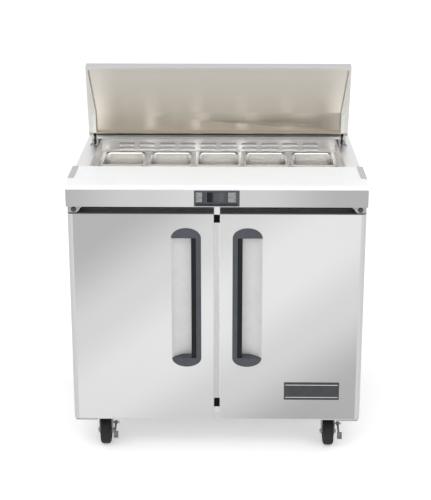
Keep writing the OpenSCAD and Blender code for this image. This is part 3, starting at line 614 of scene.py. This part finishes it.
def make_door_pieces():
    """Each door's gasket, and beside the bar of its grip a black strip that stands in for the shade of the deep
    cavity behind it.
    """
    for side, sign in SIDES:
        body, gasket = f"{side}_door", f"door_{side}_gasket"
        add_piece(f"{side}_bellows_gasket", *gasket_ring(*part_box(gasket)), GASKET, body, "gasket", [gasket],
                  smooth_angle=50)
        inner, face, bottom, top = grip_place(side, sign)
        edges = sorted((inner + sign * GRIP_BAR, inner + sign * GRIP_SHADE_STRIP))
        # painted shade: a black strip where the cavity behind the grip lies in shadow
        strip = block((edges[0], face + 1.2 * MM, bottom), (edges[1], face + 3.2 * MM, top))
        soften(add_piece(f"{side}_grip_shadow_strip", *strip, BLACK, body, "black_plastic"), 0.6)


def make_pocket_linings():
    """The bright hollow behind each grip: flush at its far side and deepest under the grip's inner edge."""
    near, far, depth = 31 * MM, 93 * MM, 36 * MM
    radius = ((far - near) ** 2 + depth ** 2) / (2 * depth)
    spread = math.asin((far - near) / radius)
    angles = [spread * k / 16 for k in range(17)]
    for side, sign in SIDES:
        inner, face, bottom, top = grip_place(side, sign)
        centre = (inner + sign * near, face + depth - radius)
        outline = curved_sheet(centre, (radius - 0.35 * MM, radius - 1.0 * MM), angles, sign, 1)
        lining = prism_z(outline, bottom + 0.1 * MM, top - 0.1 * MM)
        add_piece(f"{side}_pocket_lining", *lining, POCKET, f"{side}_door", "steel_light")


def make_door_trims():
    """The lighter end channel that wraps each door's rounded outer edge."""
    radius = 15 * MM
    angles = [math.radians(degrees) for degrees in range(-6, 91, 8)]
    for side, sign in SIDES:
        low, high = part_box(f"door_{side}_skin")
        outer = high.x if sign > 0 else low.x
        centre = (outer - sign * radius, low.y + radius)
        outline = curved_sheet(centre, (radius + 0.25 * MM, radius - 0.1 * MM), angles, sign, -1)
        channel = prism_z(outline, low.z + 0.5 * MM, high.z - 0.5 * MM)
        add_piece(f"{side}_door_edge_channel", *channel, CHANNEL, f"{side}_door", "steel_light")


# ---- Lid ----

def make_lid_hems():
    """Folded hems of the lid's sheet round the liner's recess, which taper towards the free edge."""
    swing = Matrix.Translation(LID_PIVOT) @ Matrix.Rotation(-LID_OPEN, 4, "X")
    half_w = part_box("lid_liner")[1].x + 1.2 * MM
    rim, reach = -7 * MM, 287.4 * MM  # the closed lid's rim and free edge, from the pivot
    edge, hem, mitre = 0.6 * MM, 10.6 * MM, 0.4 * MM
    narrow, wide = 7.2 * MM, 26.4 * MM  # side hems at the free edge and by the arms
    bend, end = -112 * MM, -42 * MM  # where the side hems reach their full width, and stop

    def plate(outline):
        rings = [[swing @ Vector((x, y, rim + lift)) for x, y in outline] for lift in (-0.35 * MM, 0.1 * MM)]
        return loft(rings, capped=True)

    inner = half_w - narrow - mitre
    parts = [plate([(-half_w + edge, -reach + edge), (half_w - edge, -reach + edge),
                    (inner, -reach + hem), (-inner, -reach + hem)])]
    side = [(half_w - edge, -reach + edge + 2 * mitre), (half_w - narrow + mitre, -reach + hem),
            (half_w - wide, bend), (half_w - wide, end), (half_w - edge, end)]
    for sign in (-1, 1):
        parts.append(plate([(sign * x, y) for x, y in side]))
    add_piece("lid_hems", *joined(parts), HEM, "lid", "steel_light")


# ---- Well ----

def brow(cx, z, y, width, height, reach):
    """One pressed louver of thin sheet: open at the bottom, flush at the top and round at both ends."""
    across, up = 14, 6
    sheets = []
    for inset in (0.0, 0.9 * MM):
        half, tall, out = width / 2 - inset, height - inset, reach - inset
        grid = []
        for j in range(up + 1):
            rise = j / up
            for i in range(across + 1):
                u = 2 * i / across - 1
                swell = (1 - abs(u) ** 5) ** 0.5
                grid.append((cx + half * math.copysign(abs(u) ** 0.8, u), y - out * swell * (1 - rise ** 2.2),
                             z + tall * rise * (0.55 + 0.45 * swell)))
        sheets.append(grid)
    row = across + 1
    count = row * (up + 1)
    verts = sheets[0] + sheets[1]
    faces = []
    for j in range(up):
        for i in range(across):
            a = j * row + i
            faces.append((a, a + 1, a + row + 1, a + row))
            faces.append((count + a, count + a + row, count + a + row + 1, count + a + 1))
    rim = (list(range(row)) + [j * row + across for j in range(1, up + 1)]
           + [up * row + i for i in range(across - 1, -1, -1)] + [j * row for j in range(up - 1, 0, -1)])
    for a, b in zip(rim, rim[1:] + rim[:1]):
        faces.append((a, count + a, count + b, b))
    return verts, faces


def make_louver_brows():
    """Rounded pressings over the louvers of the well's rear wall: two rows of ten."""
    low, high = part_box("louver_panel")
    pitch, width, height, proud = 72 * MM, 53 * MM, 12.2 * MM, 6.3 * MM
    face = low.y + 6 * MM
    rows = (high.z - 25.5 * MM, low.z + 3 * MM)
    brows = [brow((k - 4.5) * pitch, z, face, width, height, proud) for z in rows for k in range(10)]
    add_piece("louver_brows", *joined(brows), LOUVER, "cabinet", "steel_light", smooth_angle=70)


# ---- Controller ----

def make_display():
    """What sits in the bezel's window and recesses: dark glass, a glossy strip and fine upright ribs."""
    low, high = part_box("control_bezel")
    front, centre = low.y, (low.x + high.x) / 2
    bottom, top = low.z + 13.5 * MM, low.z + 44.5 * MM
    window = block((centre - 29.6 * MM, front + 0.9 * MM, bottom - 0.1 * MM),
                   (centre + 21.6 * MM, front + 2.1 * MM, top + 0.1 * MM))
    soften(add_piece("display_window", *window, GLASS, "cabinet", "display"), 0.4)
    strip = block((low.x + 5.2 * MM, front + 0.3 * MM, low.z + 2.7 * MM),
                  (high.x - 5.2 * MM, front + 0.9 * MM, low.z + 9.3 * MM))
    soften(add_piece("display_lower_strip", *strip, STRIP, "cabinet", "display"), 0.25)
    ribs = []
    for middle in (-38 * MM, 31 * MM):
        for offset in (-1.8 * MM, 0, 1.8 * MM):
            x = centre + middle + offset
            ribs.append(block((x - 0.5 * MM, front + 0.2 * MM, bottom + 0.1 * MM),
                              (x + 0.5 * MM, front + 0.9 * MM, top - 0.1 * MM)))
    add_piece("bezel_ribs", *joined(ribs), CAP_PLASTIC, "cabinet", "cap_plastic")


def make_key_marks():
    """A plain raised shape on each key, at the key's outer end."""
    shapes = {
        "up": [(-1, -0.8), (1, -0.8), (0, 1)], "down": [(-1, 0.8), (0, -1), (1, 0.8)],
        "set": [(-0.8, -0.8), (0.8, -0.8), (0.8, 0.8), (-0.8, 0.8)], "light": disc(0, 0, 1.0),
    }
    half = 2 * MM
    for name, outline in shapes.items():
        low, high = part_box(f"button_{name}")
        cx = low.x + 3.4 * MM if low.x < 0 else high.x - 3.4 * MM
        cz = (low.z + high.z) / 2
        outline = [(cx + half * x, cz + half * z) for x, z in outline]
        mark = prism_y(outline, low.y - 0.15 * MM, low.y + 0.4 * MM)
        add_piece(f"{name}_key_mark", *mark, BLACK, f"key_{name}", "black_plastic")


def make_name_plate_lines():
    """Two plain rules let into the blank plate, in place of any lettering."""
    low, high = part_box("name_plate")
    margin, height = 4.3 * MM, 2.4 * MM
    front, back = low.y + 0.25 * MM, low.y + 0.9 * MM
    rules = [block((low.x + margin, front, bottom), (high.x - margin, back, bottom + height))
             for bottom in (low.z + 7.3 * MM, high.z - 9.7 * MM)]
    soften(add_piece("name_plate_rules", *joined(rules), CLIP, "right_door", "bracket"), 0.25, 2)


def make_bracket_bolts():
    """A dark hexagon bolt with its washer on each upper hinge bracket."""
    low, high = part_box("door_hinges")
    cz, front = high.z - 11.5 * MM, low.y - 0.1 * MM
    bolts = []
    for _, sign in SIDES:
        cx = sign * (high.x - 18 * MM)
        bolts.append(prism_y(disc(cx, cz, 8.5 * MM, 28), front - 0.8 * MM, front + 0.2 * MM))
        bolts.append(prism_y(disc(cx, cz, 6.5 * MM, 6), front - 4.0 * MM, front - 0.7 * MM))
    soften(add_piece("hinge_bracket_bolts", *joined(bolts), ENAMEL, "cabinet", "black_metal"), 0.5, 2)


# ---- Casters ----

def pedal_eye(left, pivot):
    """The ring of a pedal about its pivot bolt."""
    outer, bore, length = 6.5 * MM, 3.1 * MM, 9.7 * MM
    profile = [(left, outer - 0.2 * MM), (left + 1 * MM, outer), (left + 9 * MM, outer),
               (left + length, outer - 0.7 * MM), (left + length, bore), (left, bore)]
    return lathe_x(profile, pivot, 32)


def pedal_foot(low, high, left, pivot):
    """A pedal's bent arm, and its foot pad with four ribs."""
    top, toe_y = low.z + 17 * MM, low.y + 9 * MM
    arm = [(pivot.y - 4.5 * MM, pivot.z + 2.5 * MM), (toe_y + 9 * MM, top + 8 * MM), (toe_y, top + 3 * MM),
           (toe_y + 2 * MM, top - 3 * MM), (toe_y + 11 * MM, top + 2.5 * MM),
           (pivot.y - 4.5 * MM, pivot.z - 3.5 * MM)]
    pad = [(low.y + 3.2 * MM, low.z + 0.4 * MM), (low.y + 8.5 * MM, low.z + 0.2 * MM),
           (low.y + 14.5 * MM, top), (low.y + 12 * MM, top + 4 * MM), (low.y + 6.5 * MM, top + 3.5 * MM)]
    parts = [prism_x(arm, left + 1.5 * MM, left + 8 * MM), prism_x(pad, low.x + 0.3 * MM, high.x - 0.2 * MM)]
    for k in range(4):
        y, z = low.y + (0.9 + 1.0 * k) * MM, low.z + (1.2 + 4.6 * k) * MM
        parts.append(block((low.x + 0.9 * MM, y, z), (high.x - 0.8 * MM, y + 4.2 * MM, z + 2.4 * MM)))
    return joined(parts)


def make_pedals():
    """Brake pedals: an eye round the pivot bolt, a bent arm and a ribbed foot pad."""
    for i in (1, 2):
        node, body = f"brake_pedal_{i}", f"pedal_{i}"
        low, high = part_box(node)
        left, pivot = low.x + 0.3 * MM, Vector((0, high.y - 6.5 * MM, high.z - 6.5 * MM))
        foot = pedal_foot(low, high, left, pivot)
        soften(add_piece(f"{node}_foot", *foot, PEDAL, body, "pedal", [node]), 0.5, 2)
        add_piece(f"{node}_eye", *pedal_eye(left, pivot), PEDAL, body, "pedal")


def tyre_shape(centre, half, radius):
    """A tyre with a slightly crowned tread and rounded shoulders."""
    tread = [(0, radius), (0.35 * half, radius - 0.15 * MM), (0.68 * half, radius - 1.0 * MM),
             (0.86 * half, radius - 3.2 * MM), (0.97 * half, radius - 7.0 * MM), (half, radius - 12 * MM),
             (0.98 * half, radius - 14.5 * MM), (0.86 * half, radius - 15.5 * MM),
             (0.80 * half, radius - 17 * MM)]
    return lathe_x([(-x, r) for x, r in tread[:0:-1]] + tread, centre, 72)


def hub_shape(centre, half, radius):
    """A hub with a rim, a thin web, a boss with a bore, and six spokes."""
    rim = [(0.86 * half, radius), (0.74 * half, radius - 1.5 * MM), (0.62 * half, radius - 4 * MM),
           (0.62 * half, 13 * MM), (0.96 * half, 11.5 * MM), (0.96 * half, 4.2 * MM)]
    parts = [lathe_x([(-x, r) for x, r in rim] + rim[::-1], centre, 48)]
    for k in range(6):
        turn = Matrix.Rotation(math.pi / 3 * k, 4, "X")
        verts, faces = block((-0.84 * half, -1.6 * MM, 12 * MM), (0.84 * half, 1.6 * MM, radius - 0.5 * MM))
        parts.append(([centre + turn @ Vector(v) for v in verts], faces))
    return joined(parts)


def make_wheels():
    """Rubber tyres on plastic hubs."""
    for i in range(1, 5):
        node, body = f"caster_wheel_{i}", f"wheel_{i}"
        low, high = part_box(node)
        centre, half, radius = (low + high) / 2, (high.x - low.x) / 2, (high.z - low.z) / 2
        add_piece(f"caster_tyre_{i}", *tyre_shape(centre, half, radius), TYRE, body, "tyre", [node])
        hub = hub_shape(centre, half, radius - 16.2 * MM)
        add_piece(f"caster_hub_{i}", *hub, CAP_PLASTIC, body, "cap_plastic")


make_pans()
make_door_pieces()
make_pocket_linings()
make_door_trims()
make_lid_hems()
make_louver_brows()
make_display()
make_key_marks()
make_name_plate_lines()
make_bracket_bolts()
make_pedals()
make_wheels()


# ---- Studio ----

def make_floor():
    """A pale matt floor that glows a little, so that it reads as white round the object."""
    bpy.ops.mesh.primitive_plane_add(size=80, location=(0, 0, 0))
    floor = bpy.context.object
    floor.name = "studio_floor"
    made = Finish("studio_floor", (0.80, 0.80, 0.80), 0.9, specular=0.0)
    made.shader.inputs["Emission Color"].default_value = (1, 1, 1, 1)
    made.shader.inputs["Emission Strength"].default_value = 0.34
    floor.data.materials.append(made.material)


def area_light(name, place, target, size, power):
    data = bpy.data.lights.new(name, "AREA")
    data.shape = "RECTANGLE"
    data.size, data.size_y = size
    data.energy = power
    lamp = bpy.data.objects.new(name, data)
    bpy.context.scene.collection.objects.link(lamp)
    lamp.location = place
    lamp.rotation_euler = (Vector(target) - Vector(place)).to_track_quat("-Z", "Y").to_euler()


def make_world(strength):
    world = bpy.data.worlds.new("studio")
    bpy.context.scene.world = world
    world.use_nodes = True
    background = world.node_tree.nodes["Background"]
    background.inputs["Color"].default_value = (1, 1, 1, 1)
    background.inputs["Strength"].default_value = strength


def make_camera():
    """The camera stands almost straight in front, and looks down a little."""
    pitch, yaw = math.radians(-15.86), math.radians(0.67)
    data = bpy.data.cameras.new("camera")
    data.sensor_fit = "AUTO"
    data.sensor_width = 36
    data.lens = 84.7
    data.shift_y = -0.18
    data.clip_end = 100
    camera = bpy.data.objects.new("camera", data)
    bpy.context.scene.collection.objects.link(camera)
    camera.location = (0.036, -3.792, 1.965)
    camera.rotation_euler = (math.pi / 2 + pitch, 0, yaw)
    bpy.context.scene.camera = camera


make_floor()
make_world(0.92)
area_light("key", (-2.4, -3.2, 3.6), (0, -0.2, 0.7), (1.6, 1.6), 24)
area_light("fill", (2.8, -2.6, 2.2), (0, -0.2, 0.6), (2.0, 2.0), 12)
area_light("front", (0, -2.6, 3.2), (0, 0.1, 0.85), (2.4, 1.2), 17)
# A low light into the well, under the hood's lip.
area_light("low", (0, -3.4, 1.75), (0, 0.2, 0.88), (2.6, 0.7), 14)
make_camera()
bpy.context.scene.view_settings.view_transform = "Standard"
